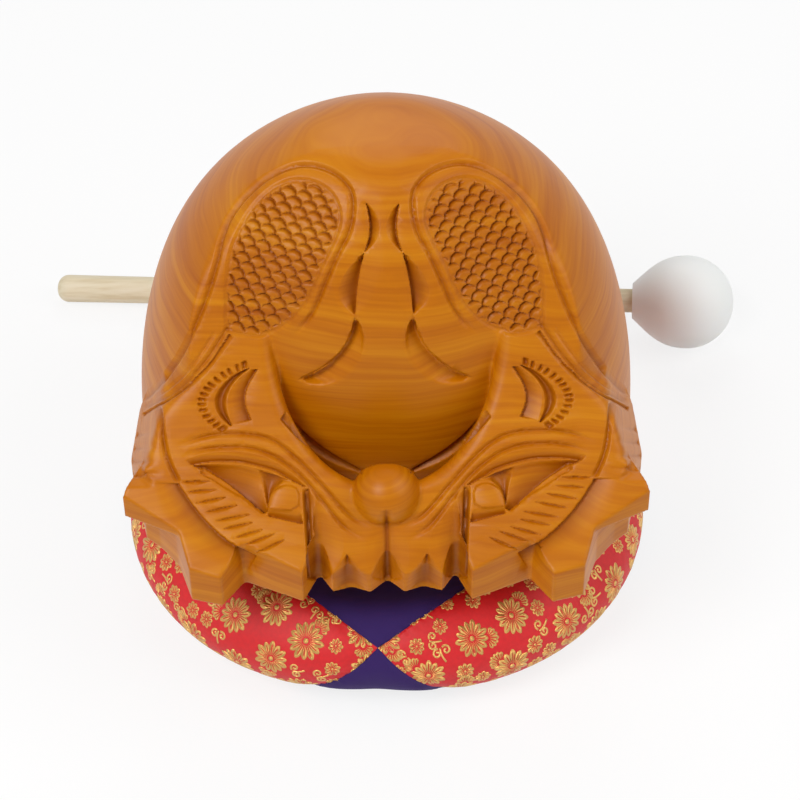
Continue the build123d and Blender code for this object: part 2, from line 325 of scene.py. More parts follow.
def ease(t):
    """A soft step from 0 to 1."""
    t = np.clip(t, 0, 1)
    return t * t * (3 - 2 * t)


# %% The skin as the carver sees it
GRAZING = 0.3                             # cosine to the eye below which a cut runs out
LEAST_FACING = 0.02                       # cosine to the eye from which a point counts as seen
RAY_START = 2 * MM                        # clear of the skin, so that a ray doesn't hit where it starts
OUTLINE_MARGIN = 2                        # pixels round an outline that are looked through


class SeenSkin:
    """The points of a skin that the camera sees, with height changes in millimetres along their normals."""

    def __init__(self, mesh):
        self.mesh = mesh
        points = read_points(mesh)
        to_eye = np.array(eye) - points
        to_eye /= np.linalg.norm(to_eye, axis=1)[:, None]
        tree = BVHTree.FromPolygons(points.tolist(), [p.vertices[:] for p in mesh.polygons])
        facing = (read_points(mesh, "normal") * to_eye).sum(1)
        ahead = np.flatnonzero(facing > LEAST_FACING)
        clear = [i for i in ahead if tree.ray_cast(points[i] + to_eye[i] * RAY_START, to_eye[i])[0] is None]
        self.seen = np.array(clear)
        self.grip = ease(facing[self.seen] / GRAZING)
        self.height = np.zeros(len(self.seen))
        self.look()

    def look(self):
        """Takes the pixels of the seen points, all folded to the left half."""
        folded = read_points(self.mesh)[self.seen]
        folded[:, 0] = -np.abs(folded[:, 0])
        self.spots = to_pixels(folded)

    def near(self, line, reach):
        """The seen points in the box round a line, with a reach in pixels."""
        low = np.min(line, axis=0) - reach
        high = np.max(line, axis=0) + reach
        return np.flatnonzero(((self.spots > low) & (self.spots < high)).all(axis=1))

    def within(self, outline):
        """The seen points inside a closed outline."""
        near = self.near(outline, OUTLINE_MARGIN)
        return near[inside(self.spots[near], outline)]

    def press(self):
        """Moves the points of the mesh by their height changes."""
        points = read_points(self.mesh)
        normals = read_points(self.mesh, "normal")
        points[self.seen] += normals[self.seen] * (self.height * self.grip * MM)[:, None]
        write_points(self.mesh, points)


def closed(points, rounds=1):
    """A closed, rounded outline."""
    return rounded(list(points) + [points[0]], rounds)


skin = SeenSkin(drum.data)
print("the carver sees", len(skin.seen), "points")

# %% [markdown]
# ### Rasp the blank
# The solids meet in creases under the fish, where the sloped face runs into the dome. A carver takes such
# edges off with a rasp before the fine work. Here each point inside an outline moves towards the middle of
# its neighbours, many times over, and less so near the outline, so that the rasped place runs out softly.

# %% Rasp the creases
RASP_PULL = 0.6
FISH_BACK = [(188, 330), (200, 270), (222, 215), (262, 172), (300, 152), (360, 152), (372, 180), (350, 240),
             (330, 300), (290, 330), (240, 345)]
WAVE = [(350, 192), (384, 190), (388, 250), (372, 312), (340, 314), (330, 280)]
EYE = [(185, 462), (236, 455), (308, 480), (306, 524), (262, 522), (220, 486)]
SHOULDER = [(120, 470), (128, 415), (205, 335), (235, 350), (180, 420), (168, 470)]


def rasp(points, passes, blend):
    """Smooths the skin inside an outline, and less so within some pixels of its edge."""
    outline = closed(points)
    near = skin.within(outline)
    place = read_points(skin.mesh)
    local = np.full(len(place), -1)
    local[skin.seen[near]] = np.arange(len(near))
    ends = np.empty(len(skin.mesh.edges) * 2, int)
    skin.mesh.edges.foreach_get("vertices", ends)
    ends = local[ends.reshape(-1, 2)]
    ends = ends[(ends >= 0).all(axis=1)]
    start = np.concatenate([ends[:, 0], ends[:, 1]])
    stop = np.concatenate([ends[:, 1], ends[:, 0]])
    count = np.maximum(np.bincount(start, minlength=len(near)), 1)
    depth_in = from_line(skin.spots[near], outline)[0]
    pull = (RASP_PULL * ease(depth_in / blend))[:, None]
    spot = place[skin.seen[near]]
    for _ in range(passes):
        mean = np.column_stack([np.bincount(start, spot[stop, axis], len(near)) / count for axis in range(3)])
        spot += pull * (mean - spot)
    place[skin.seen[near]] = spot
    write_points(skin.mesh, place)
    skin.look()


rasp(FISH_BACK, passes=260, blend=14)
rasp(WAVE, passes=160, blend=8)
rasp(EYE, passes=12, blend=4)
rasp(SHOULDER, passes=40, blend=8)
print("rasped four places")

# %% [markdown]
# A scale is only a few millimetres across, so the skin has to be finer than elsewhere where it will be
# carved. One subdivision of the faces there halves its step, and leaves the plain dome as it is.

# %% Make the skin finer where it will be carved
FINE_ZONE = [(118, 610), (118, 400), (185, 330), (222, 220), (280, 155), (345, 155), (389, 195), (389, 610)]

fine = np.zeros(len(drum.data.vertices), bool)
fine[skin.seen[skin.within(closed(FINE_ZONE))]] = True
only(drum)
drum.data.vertices.foreach_set("select", fine)
drum.data.edges.foreach_set("select", np.zeros(len(drum.data.edges), bool))
drum.data.polygons.foreach_set("select", [all(fine[v] for v in p.vertices) for p in drum.data.polygons])
bpy.ops.object.mode_set(mode="EDIT")
bpy.ops.mesh.select_mode(type="FACE")
bpy.ops.mesh.subdivide(number_cuts=1, smoothness=0)
bpy.ops.object.mode_set(mode="OBJECT")
skin = SeenSkin(drum.data)
print("finer skin", len(drum.data.vertices), "points")

# %% [markdown]
# ### The gouges
# Four cuts make nearly all of the carving. A V groove runs along a line. A scoop is a stop cut along one
# line, with a slope pared down to it from another. A hollow is one pass of a round gouge between two lines.
# A patch is raised or sunk with a bevel. Widths are pixels of the photo view, as the lines are, and depths
# are millimetres into the wood.

# %% Gouges
def groove(points, width, depth, ends=(0.15, 0.15)):
    """A V cut along a line, which runs out over a share of its length at each end."""
    line = rounded(points)
    near = skin.near(line, width)
    gap, along = from_line(skin.spots[near], line)
    run_out = ease(along / max(ends[0], TINY)) * ease((1 - along) / max(ends[1], TINY))
    skin.height[near] -= depth * run_out * np.clip(1 - 2 * gap / width, 0, 1)


def between(one_side, other_side):
    """The seen points between two lines, and their distances from the one and the other."""
    first = rounded(one_side)
    second = rounded(other_side)
    near = skin.within(np.vstack([first, second[::-1]]))
    spots = skin.spots[near]
    return near, from_line(spots, first)[0], from_line(spots, second)[0]


def scoop(stop, edge, depth, power=1.0):
    """A slope that starts at an edge and goes down to a steep stop cut."""
    near, to_stop, to_edge = between(stop, edge)
    skin.height[near] -= depth * (to_edge / (to_edge + to_stop + TINY)) ** power


def hollow(one_side, other_side, depth):
    """A round cut between two lines, deepest half way."""
    near, to_one, to_other = between(one_side, other_side)
    t = to_one / (to_one + to_other + TINY)
    skin.height[near] -= depth * 4 * t * (1 - t)


def patch(points, lift, bevel):
    """A raised or sunk patch, with a bevel inside its outline."""
    outline = closed(points)
    near = skin.within(outline)
    skin.height[near] += lift * ease(from_line(skin.spots[near], outline)[0] / bevel)


def deepest():
    """How deep the deepest cut is by now, in millimetres."""
    return round(-skin.height.min(), 1)


# %% [markdown]
# ### The fish band
# Each fish lies with its tail over the dome. A double groove runs round its back, and its side is tiled
# with scales: one push of a round gouge for each, with the floor of the cut rising to the next row. They
# could be modelled once and copied, but cut into the skin they follow its curve. Every second row is
# shifted by half a scale.

# %% The gouge for scales
SCALE_SHIFT = (-0.22, -0.5)               # from a scale's arch to its lower edge, in shares of its reach
SCALE_RUN_OUT = 5                         # pixels inside the outline over which the scales run out


def scales(points, foot, head, across, along, reach, depth):
    """Rows of thumbnail cuts inside an outline, from a foot point towards a head point."""
    outline = closed(points, rounds=2)
    near = skin.within(outline)
    depth_in = from_line(skin.spots[near], outline)[0]
    up = np.subtract(head, foot) / np.hypot(*np.subtract(head, foot))
    local = skin.spots[near] - foot
    u = local @ np.array([-up[1], up[0]])
    v = local @ up
    shift = np.array(SCALE_SHIFT) * reach
    cut = np.zeros(len(near))
    for step in range(-1, 2):
        row = np.round(v / along) + step
        start = (row % 2) * across / 2
        for side in (-0.5, 0.5):
            middle = start + np.round((u - start) / across + side) * across
            du = u - middle
            dv = v - row * along
            past_edge = np.hypot(du - shift[0], dv - shift[1]) - reach
            in_arch = np.hypot(du, dv) < reach
            cut = np.maximum(cut, in_arch * np.clip(past_edge / np.hypot(*shift), 0, 1))
    skin.height[near] -= depth * ease(depth_in / SCALE_RUN_OUT) * cut


# %% Cut the bands and the scales
BAND_EDGE = [(141, 403), (160, 384), (182, 353), (204, 307), (216, 267), (222, 232), (236, 205), (259, 182),
             (281, 169), (307, 163), (334, 171), (350, 187), (354, 205), (350, 232), (338, 253), (324, 285),
             (315, 309), (304, 326), (290, 337)]
SCALE_EDGE = [(227, 330), (225, 294), (229, 259), (234, 241), (245, 217), (259, 198), (277, 184), (299, 178),
              (322, 184), (336, 198), (341, 219), (334, 241), (320, 267), (311, 291), (300, 310), (281, 328),
              (259, 337), (238, 334)]
SCALE_FOOT = (252, 335)
SCALE_HEAD = (300, 180)
FLANK_LINE = [(229, 326), (207, 361), (190, 378), (168, 395), (143, 409)]
FLANK_HAIRLINE = [(216, 330), (199, 358), (176, 383), (142, 407)]
FLANK_STOP = [(229, 334), (210, 364), (186, 385), (143, 413)]
FLANK_SLOPE = [(234, 338), (205, 377), (181, 394), (144, 417)]

groove(BAND_EDGE, width=8, depth=1.9, ends=(0.02, 0.06))
patch(SCALE_EDGE, lift=-1.0, bevel=4)
groove(SCALE_EDGE + SCALE_EDGE[:1], width=6, depth=1.2, ends=(0, 0))
scales(SCALE_EDGE, SCALE_FOOT, SCALE_HEAD, across=16.0, along=8.6, reach=8.2, depth=2.4)
groove(FLANK_LINE, width=7, depth=1.6, ends=(0.05, 0.05))
groove(FLANK_HAIRLINE, width=5, depth=0.9, ends=(0.1, 0.05))
scoop(FLANK_STOP, FLANK_SLOPE, depth=2.2)
print("bands and scales cut, deepest", deepest(), "mm")

# %% [markdown]
# ### The wave between the fish and the ring
# A chain of three sickle cuts follows the band. Each is a stop cut along one curve and a slope pared down
# to it from one side, and the side changes from sickle to sickle. The solids hold their main form, so these
# cuts only sharpen it. The lowest sickle lies across the wall of the finger gap and is only touched up. A
# shallow hollow rolls the gap's rim.

# %% Cut the wave and the rim of the finger gap
UPPER_SICKLE_STOP = [(366, 203), (370, 222), (369, 238), (364, 253)]
UPPER_SICKLE_EDGE = [(366, 203), (375, 211), (381, 228), (376, 243), (364, 253)]
MIDDLE_SICKLE_STOP = [(364, 253), (359, 272), (356, 293), (355, 316)]
MIDDLE_SICKLE_EDGE = [(364, 253), (348, 268), (338, 287), (340, 302), (355, 316)]
LOWER_SICKLE_STOP = [(355, 314), (353, 331), (344, 348), (327, 365), (298, 380)]
LOWER_SICKLE_EDGE = [(355, 314), (364, 335), (363, 352), (353, 369), (329, 382), (298, 380)]
RIM_INNER = [(286, 412), (308, 436), (331, 453), (362, 470)]
RIM_OUTER = [(280, 420), (304, 445), (330, 463), (362, 474)]

scoop(UPPER_SICKLE_STOP, UPPER_SICKLE_EDGE, depth=3.6)
scoop(MIDDLE_SICKLE_STOP, MIDDLE_SICKLE_EDGE, depth=4.0)
scoop(LOWER_SICKLE_STOP, LOWER_SICKLE_EDGE, depth=0.8)
hollow(RIM_INNER, RIM_OUTER, depth=2.4)
print("wave and rim cut, deepest", deepest(), "mm")

# %% [markdown]
# ### The fan fin
# Above each brow lies a small half-moon fin. Short rays, each one tap of a V gouge, stand round its arc and
# point at one centre, so a loop along the arc places them. Inside the arc, a hollow and a scoop leave a
# crescent standing.

# %% Cut the fan fin
FAN_ARC = [(246, 362), (222, 372), (205, 386), (197, 401), (203, 418), (221, 431)]
FAN_CENTRE = np.array((252, 398))
FAN_RAYS = 17
RAY_ENDS = (0.02, 0.98)                   # shares of the arc where the first and the last ray stand
RAY_OUT = 2                               # pixels by which a ray starts outside the arc
RAY_BEND = (3, 1.5)                       # inward and sideways from the arc, in pixels
RAY_TIP = (9, 1)
FAN_OUTER = [(250, 368), (232, 375), (219, 388), (213, 401), (218, 416), (230, 426)]
FAN_MIDDLE = [(250, 368), (236, 379), (226, 395), (226, 411), (232, 426)]
CRESCENT_STOP = [(257, 370), (246, 388), (244, 404), (251, 420)]
CRESCENT_EDGE = [(250, 370), (234, 382), (227, 398), (233, 424)]

fan_line = rounded(FAN_ARC, rounds=4)
for share in np.linspace(*RAY_ENDS, FAN_RAYS):
    spot = fan_line[int(share * (len(fan_line) - 1))]
    inward = (FAN_CENTRE - spot) / np.hypot(*(FAN_CENTRE - spot))
    sideways = np.array((-inward[1], inward[0]))
    ray = [spot - inward * RAY_OUT]
    ray += [spot + inward * deep + sideways * aside for deep, aside in (RAY_BEND, RAY_TIP)]
    groove(ray, width=4.6, depth=2.4, ends=(0.2, 0.5))
hollow(FAN_OUTER, FAN_MIDDLE, depth=3.0)
scoop(CRESCENT_STOP, CRESCENT_EDGE, depth=3.0)
print("fan fin cut with", FAN_RAYS, "rays, deepest", deepest(), "mm")

# %% [markdown]
# ### Brow, eye and mane
# Two long grooves draw the brow, from the cheek round the jewel's corner to the lips. Below it the eye is
# set back: the lid is a scoop, the white of the eye a slope, and the eyeball a raised patch with a hollow
# beside it. A mane of short slanted cuts runs under the eye. All have sharp upper edges and soft lower
# ones, which catch the light.

# %% Cut the brow and the eye
BROW_UPPER = [(174, 447), (206, 435), (245, 433), (274, 439), (299, 460), (322, 485), (343, 510), (358, 522),
              (375, 527)]
BROW_LOWER = [(180, 458), (202, 449), (234, 446), (263, 450), (291, 466), (315, 491), (336, 519), (347, 530),
              (367, 541)]
LID_STOP = [(191, 465), (209, 463), (236, 463), (263, 468), (281, 475), (304, 487)]
LID_EDGE = [(186, 460), (203, 453), (234, 451), (262, 455), (287, 468), (307, 487)]
EYE_WHITE_STOP = [(193, 466), (220, 477), (245, 497), (264, 513)]
EYE_WHITE_EDGE = [(193, 464), (236, 464), (258, 472), (266, 490), (268, 510)]
BESIDE_EYEBALL = [(258, 470), (264, 488), (267, 508)]
OVER_EYEBALL = [(300, 484), (280, 482), (270, 494), (267, 508)]
EYEBALL = [(267, 511), (270, 496), (277, 487), (288, 483), (301, 489), (300, 512)]
UNDER_LID_STOP = [(268, 516), (285, 520), (303, 524)]
UNDER_LID_EDGE = [(267, 511), (285, 511), (300, 511)]

groove(BROW_UPPER, width=7, depth=1.8)
groove(BROW_LOWER, width=7, depth=1.8)
scoop(LID_STOP, LID_EDGE, depth=2.6)
scoop(EYE_WHITE_STOP, EYE_WHITE_EDGE, depth=3.0)
hollow(BESIDE_EYEBALL, OVER_EYEBALL, depth=2.5)
patch(EYEBALL, lift=1.6, bevel=3)
scoop(UNDER_LID_STOP, UNDER_LID_EDGE, depth=3.0)
print("brow and eye cut, deepest", deepest(), "mm")

# %% Cut the mane
MANE = [((181, 482), (210, 481)), ((187, 492), (219, 489)), ((196, 503), (227, 497)),
        ((205, 512), (238, 505)), ((214, 521), (251, 514)), ((222, 529), (254, 522)),
        ((233, 538), (264, 529)), ((244, 545), (276, 533)), ((256, 553), (287, 538))]   # outer and inner ends
MANE_ARCH = 1.5                           # pixels by which a cut's upper edge bends up
MANE_WIDTH = 6

for outer, inner in MANE:
    bend = ((outer[0] + inner[0]) / 2, (outer[1] + inner[1]) / 2 - MANE_ARCH)
    below = (bend[0], bend[1] + MANE_WIDTH)
    scoop([outer, bend, inner], [outer, below, inner], depth=2.0)
print(len(MANE), "cuts in the mane")

# %% [markdown]
# ### Cheek, gill and mouth
# The cheek falls away in a broad scoop towards the fins, behind a groove that parts it from the gill and
# its four ribs. In front the two fish meet mouth to mouth: a groove at each corner of the mouth, one
# between the two lips, and slopes that turn each lip into a facet, with a notch in its lower edge.

# %% Cut the cheek and the gill
CHEEK_STOP = [(178, 483), (196, 510), (214, 529), (231, 543), (256, 556)]
CHEEK_EDGE = [(150, 484), (160, 515), (180, 545), (205, 562), (245, 575)]
GILL_LINE = [(158, 405), (164, 446), (169, 464), (180, 485)]
GILL_RIBS = [[(131, 436), (156, 432)], [(128, 449), (158, 447)], [(129, 462), (160, 461)],
             [(133, 474), (164, 474)]]

scoop(CHEEK_STOP, CHEEK_EDGE, depth=3.0, power=2.0)
groove(GILL_LINE, width=8, depth=2.2, ends=(0.05, 0.1))
for rib in GILL_RIBS:
    groove(rib, width=9, depth=1.4, ends=(0.0, 0.8))
print("cheek and gill cut, deepest", deepest(), "mm")

# %% Cut the mouth
MOUTH_CORNER = [(305, 484), (307, 515), (309, 548), (311, 580)]
BETWEEN_LIPS = [(388, 508), (388, 540), (388, 585)]
OUTER_LIP_STOP = [(307, 490), (309, 530), (311, 580)]
OUTER_LIP_EDGE = [(308, 486), (325, 505), (338, 525), (345, 543), (340, 562), (329, 578)]
INNER_LIP_STOP = [(388, 511), (388, 545), (388, 582)]
INNER_LIP_EDGE = [(380, 512), (374, 530), (364, 545), (368, 578)]
NOTCH = [(347, 554), (349, 573), (350, 594)]
NOTCH_LEFT = [(347, 554), (338, 566), (330, 576), (331, 594)]
NOTCH_RIGHT = [(347, 554), (357, 567), (367, 577), (368, 596)]

groove(MOUTH_CORNER, width=7, depth=4.5, ends=(0.15, 0.0))
groove(BETWEEN_LIPS, width=7, depth=3.5, ends=(0.2, 0.0))
scoop(OUTER_LIP_STOP, OUTER_LIP_EDGE, depth=2.6)
scoop(INNER_LIP_STOP, INNER_LIP_EDGE, depth=1.5)
scoop(NOTCH, NOTCH_LEFT, depth=3.0)
scoop(NOTCH, NOTCH_RIGHT, depth=3.0)
skin.press()
print("mouth cut, deepest", deepest(), "mm")

# %% [markdown]
# ### Thin the skin
# The carved skin has far more faces than its plain parts need. A light smoothing takes the saw-tooth off
# the cuts, and the Decimate modifier then thins it to a budget, mostly where it is flat. Each point that is
# left keeps how deep the wood was cut there, from the nearest point before, because the wood is darker in
# the cuts: partly a stain of oil and dust that gathers there, partly painted shade.

# %% Thin the skin and keep how deep each spot was cut
FACE_BUDGET = 190000
DEEPEST_KEPT = 6

cut_depth = np.zeros(len(drum.data.vertices))
cut_depth[skin.seen] = np.clip(-skin.height, 0, DEEPEST_KEPT)
apply_modifier(drum, "SMOOTH", factor=0.35, iterations=1)
depth_tree = KDTree(len(cut_depth))
for index, point in enumerate(read_points(drum.data)):
    depth_tree.insert(point, index)
depth_tree.balance()
triangles = sum(len(p.vertices) - 2 for p in drum.data.polygons)
apply_modifier(drum, "DECIMATE", ratio=min(1.0, FACE_BUDGET / triangles))
shade_smooth(drum.data)
depth_layer = drum.data.attributes.new("cut", "FLOAT", "POINT")
kept_depth = [cut_depth[depth_tree.find(point)[1]] for point in read_points(drum.data)]
depth_layer.data.foreach_set("value", kept_depth)
drum.data.update()
print("drum", len(drum.data.polygons), "faces, was", triangles)

# %% [markdown]
# ### The wood
# A drum like this is cut from one block of a warm, even wood and rubbed with oil and wax until it shines.
# The growth layers lie almost level, so they show as rings round the crown and as level lines on the front.
# Noise that is stretched flat gives such layers, a slow second noise lets them wander, and the cuts are
# darker: partly a stain, partly painted shade.

# %% Wood of the drum
WANDER_SIZE = 71.43 * MM                  # over which the layers rise and fall
WANDER_HEIGHT = 16 * MM
GROWTH_LAYER = 6.25 * MM
GROWTH_LENGTH = 142.86 * MM               # over which a layer changes along its own plane
FINE_LAYER = 1.613 * MM
FINE_LENGTH = 62.5 * MM
# The cut depth darkens the wood towards #7C3604: partly a stain of oil and dust in the cuts, partly painted
# shade in the hollows.
STAIN_AND_SHADE_FROM = 0.5                          # millimetres of cut where the stain starts
STAIN_AND_SHADE_FULL = 2.6
STAIN_AND_SHADE_MOST = 0.6                          # share of the stain in the deepest cuts
FINE_SHARE = 0.35


def flat_layers(length, thickness):
    """The scale of a noise that is stretched into level layers."""
    return (1 / length, 1 / length, 1 / thickness)


# Oiled and waxed wood: a soft shine that the pores break up, warm where the oil went in, and brown in the
# cuts, partly from a stain and partly as painted shade.
oiled_wood, tree, surface = material("oiled carved wood")
place = node(tree, "ShaderNodeTexCoord").outputs["Object"]
wander = node(tree, "ShaderNodeTexNoise", {"Vector": place, "Scale": 1 / WANDER_SIZE, "Detail": 2.0})
bent = node(tree, "ShaderNodeVectorMath", {0: wander.outputs["Color"], 1: (0.0, 0.0, WANDER_HEIGHT)},
            operation="MULTIPLY")
moved = node(tree, "ShaderNodeVectorMath", {0: place, 1: bent.outputs[0]}, operation="ADD")
layered = node(tree, "ShaderNodeMapping",
               {"Vector": moved.outputs[0], "Scale": flat_layers(GROWTH_LENGTH, GROWTH_LAYER)})
broad = node(tree, "ShaderNodeTexNoise",
             {"Vector": layered.outputs[0], "Scale": 1.0, "Detail": 4.0, "Roughness": 0.6})
fine_place = node(tree, "ShaderNodeMapping",
                  {"Vector": moved.outputs[0], "Scale": flat_layers(FINE_LENGTH, FINE_LAYER)})
fine_grain = node(tree, "ShaderNodeTexNoise", {"Vector": fine_place.outputs[0], "Scale": 1.0, "Detail": 3.0})
grain = node(tree, "ShaderNodeMix",
             {"Factor": FINE_SHARE, 2: broad.outputs["Fac"], 3: fine_grain.outputs["Fac"]})
colour = node(tree, "ShaderNodeValToRGB", {"Fac": grain.outputs[0]},
              stops=[(0.3, "#A85700"), (0.5, "#BB6B00"), (0.72, "#CB8009")])
# Painted shade and stain: the deeper the cut, the more the colour is mixed towards dark brown.
cut = node(tree, "ShaderNodeAttribute", attribute_name="cut").outputs["Fac"]
stain_and_shade = node(tree, "ShaderNodeMapRange",
               {"Value": cut, "From Min": STAIN_AND_SHADE_FROM, "From Max": STAIN_AND_SHADE_FULL, "To Max": STAIN_AND_SHADE_MOST})
shade = node(tree, "ShaderNodeMix", {0: stain_and_shade.outputs[0], 6: colour.outputs["Color"], 7: linear("#7C3604")},
             data_type="RGBA")
tree.links.new(shade.outputs[2], surface.inputs["Base Color"])
surface.inputs["Roughness"].default_value = 0.38
surface.inputs["Specular IOR Level"].default_value = 0.2
drum.data.materials.append(oiled_wood)
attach(drum, "mokugyo")
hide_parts("mokugyo_drum", "mokugyo_handle")
print("wood on", drum.name)

# %% [markdown]
# ## The cushion
# The real cushion is sewn from six pieces: four brocade lozenges round the side, and plain cloth above and
# below, which shows as triangles where two lozenges meet. It is stuffed hard with cotton, and the drum
# presses a dish into it. A subdivided block would look blown up all over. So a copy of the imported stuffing
# is swelled as cloth: its seams, its dish and its foot are held, and only the rest swells.

# %% Where the seams run
CUSHION_TURN = math.radians(-2.4)
CUSHION_MIDDLE_HEIGHT = 29 * MM
CUSHION_EDGE = 90 * MM                    # from the axis to where the rounded side starts
DISH_RADIUS = 96 * MM
SEAM_TIP = Vector((120.8, 44)) * MM       # a seam tip, out from the axis and up
SEAM_REACH = SEAM_TIP.x / math.sqrt(2)
UPPER_LEAN = math.radians(32)
LOWER_SPREAD = math.radians(46)
FLOOR_SEAM = 3 * MM


def cushion_axes(points):
    """Points along the cushion's own two seam axes, and up."""
    turn = np.array([[math.cos(CUSHION_TURN), -math.sin(CUSHION_TURN)],
                     [math.sin(CUSHION_TURN), math.cos(CUSHION_TURN)]])
    return np.column_stack([points[:, :2] @ turn, points[:, 2]])


def from_seams(points):
    """How far inside the upper, the lower and the floor seam of the nearest lozenge each point lies."""
    own = np.abs(cushion_axes(points))
    out = (own[:, 0] + own[:, 1]) / math.sqrt(2)
    over_tip = own[:, 2] - SEAM_TIP.y
    upper = (out - SEAM_REACH) * math.cos(UPPER_LEAN) - over_tip * math.sin(UPPER_LEAN)
    beside = np.minimum(own[:, 0], own[:, 1])
    lower = beside * math.cos(LOWER_SPREAD) + over_tip * math.sin(LOWER_SPREAD)
    return upper, lower, own[:, 2] - FLOOR_SEAM


def to_nearest_seam(points):
    """Distance of each point from the nearest seam, along the cover."""
    return np.abs(np.min(from_seams(points), axis=0))


def in_dish(points):
    """Which points lie where the drum presses the cushion in."""
    out = np.hypot(points[:, 0], points[:, 1])
    return (out < DISH_RADIUS) & (points[:, 2] > CUSHION_MIDDLE_HEIGHT)


print("seam tips stand", round(SEAM_TIP.x / MM, 1), "mm from the axis")

# %% Stuff the cushion
CLOTH_STEP = 4 * MM
COVER = 1.4 * MM                          # from the stuffing out to the cover's face, before it swells
SLACK = 2.5 * MM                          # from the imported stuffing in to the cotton, to clear drawn seams
FLOOR_CLEARANCE = 0.2 * MM

stuffing = copy_of("cushion_core", "cushion_stuffing")
apply_modifier(stuffing, "REMESH", mode="VOXEL", voxel_size=CLOTH_STEP)
apply_modifier(stuffing, "SMOOTH", factor=0.5, iterations=3)
cloth_skin = bpy.data.objects.new("cushion_skin", stuffing.data.copy())
scene.collection.objects.link(cloth_skin)
rest = read_points(cloth_skin.data) + read_points(cloth_skin.data, "normal") * COVER
rest[:, 2] = np.maximum(rest[:, 2], FLOOR_CLEARANCE)
write_points(cloth_skin.data, rest)
write_points(stuffing.data, read_points(stuffing.data) - read_points(stuffing.data, "normal") * SLACK)
print("cover starts with", len(rest), "points")

# %% Swell the cover
PRESSURE = 4.0
SWELL_FRAMES = 20
SWELL_CAP = 4 * MM
PIN_WIDTH = 3 * MM                        # on each side of a seam
FOOT_HEIGHT = 2.5 * MM

held = (to_nearest_seam(rest) < PIN_WIDTH) | in_dish(rest) | (rest[:, 2] < FOOT_HEIGHT)
pins = cloth_skin.vertex_groups.new(name="held")
pins.add(np.flatnonzero(held).tolist(), 1.0, "REPLACE")
cloth = cloth_skin.modifiers.new("cloth", "CLOTH")
cloth.settings.use_pressure = True
cloth.settings.uniform_pressure_force = PRESSURE
cloth.settings.vertex_group_mass = "held"
cloth.settings.effector_weights.gravity = 0.0
cloth.collision_settings.use_collision = False
cloth.point_cache.frame_end = SWELL_FRAMES
for frame_number in range(1, SWELL_FRAMES + 1):
    scene.frame_set(frame_number)
only(cloth_skin)
bpy.ops.object.modifier_apply(modifier=cloth.name)
scene.frame_set(1)
shift = read_points(cloth_skin.data) - rest
length = np.linalg.norm(shift, axis=1)
shift *= np.minimum(1, SWELL_CAP / np.maximum(length, 1e-9))[:, None]
write_points(cloth_skin.data, rest + shift)
apply_modifier(cloth_skin, "SUBSURF", levels=1, render_levels=1)
print("swelled by up to", round(float(length.max() / MM), 1), "mm,", len(cloth_skin.data.vertices), "points")

# %% [markdown]
# The seams come after the stuffing, because the remesh would have smoothed them away. The skin is cut along
# the seam planes, each seam is drawn in by a millimetre with small puckers, and the skin is parted into its
# six pieces of cloth.

# %% Cut the cover along its seams
CUT_SNAP = 0.2 * MM                       # a point this near to a seam is moved onto it
PAST_TIP = 6 * MM                         # how far a cut may run past the height of the seam tips
UPPER_FROM = 0.6 * SEAM_REACH             # out from the axis, where the cuts begin
LOWER_FROM = 0.8 * SEAM_REACH

cutter = bmesh.new()
cutter.from_mesh(cloth_skin.data)


def cut_along(place, facing, wanted):
    """Cuts the cover along a plane, on the faces whose middles are wanted."""
    faces = [f for f in cutter.faces if wanted(f.calc_center_median())]
    edges = list({e for f in faces for e in f.edges})
    points = list({v for f in faces for v in f.verts})
    cut_parts = points + edges + faces
    bmesh.ops.bisect_plane(cutter, geom=cut_parts, plane_co=place, plane_no=facing, dist=CUT_SNAP)


for quarter in range(4):
    tip_turn = CUSHION_TURN + quarter * math.pi / 2
    tip_way = Vector((math.cos(tip_turn), math.sin(tip_turn), 0))
    beside_way = Vector((-tip_way.y, tip_way.x, 0))
    out_way = (tip_way + beside_way).normalized()
    tip = tip_way * SEAM_TIP.x + Vector((0, 0, SEAM_TIP.y))
    upper_facing = out_way * math.cos(UPPER_LEAN) - Vector((0, 0, math.sin(UPPER_LEAN)))
    cut_along(tip, upper_facing, lambda c: c.dot(out_way) > UPPER_FROM and c.z > SEAM_TIP.y - PAST_TIP)
    for side in (-1, 1):
        lower_facing = beside_way * side * math.cos(LOWER_SPREAD) + Vector((0, 0, math.sin(LOWER_SPREAD)))
        cut_along(tip, lower_facing, lambda c: c.dot(tip_way) > LOWER_FROM and c.z < SEAM_TIP.y + PAST_TIP)
cut_along(Vector((0, 0, FLOOR_SEAM)), Vector((0, 0, 1)), lambda c: c.z < 3 * FLOOR_SEAM)
cutter.to_mesh(cloth_skin.data)
cutter.free()
print("cut cover has", len(cloth_skin.data.polygons), "faces")

# %% Tell the pieces apart, then draw the seams in
LOZENGES = {"back_right": (1, 1), "back_left": (-1, 1), "front_left": (-1, -1), "front_right": (1, -1)}
TOP_CLOTH = 0
BOTTOM_CLOTH = 1
SEAM_DRAW = 1.3 * MM
SEAM_WIDTH = 4 * MM
SEAM_LOWEST = 1 * MM
PUCKER = 0.35 * MM
PUCKER_STEP = 6 * MM

middles = np.empty(len(cloth_skin.data.polygons) * 3)
cloth_skin.data.polygons.foreach_get("center", middles)
middles = middles.reshape(-1, 3)
upper, lower, floor_side = from_seams(middles)
own = cushion_axes(middles)
under = (floor_side < 0) | ((lower < 0) & (np.max(np.abs(own[:, :2]), axis=1) > SEAM_REACH))
piece_of_face = np.where(under, BOTTOM_CLOTH, TOP_CLOTH)
for index, (across_sign, back_sign) in enumerate(LOZENGES.values()):
    here = (upper > 0) & ~under & (own[:, 0] * across_sign > 0) & (own[:, 1] * back_sign > 0)
    piece_of_face[here] = BOTTOM_CLOTH + 1 + index

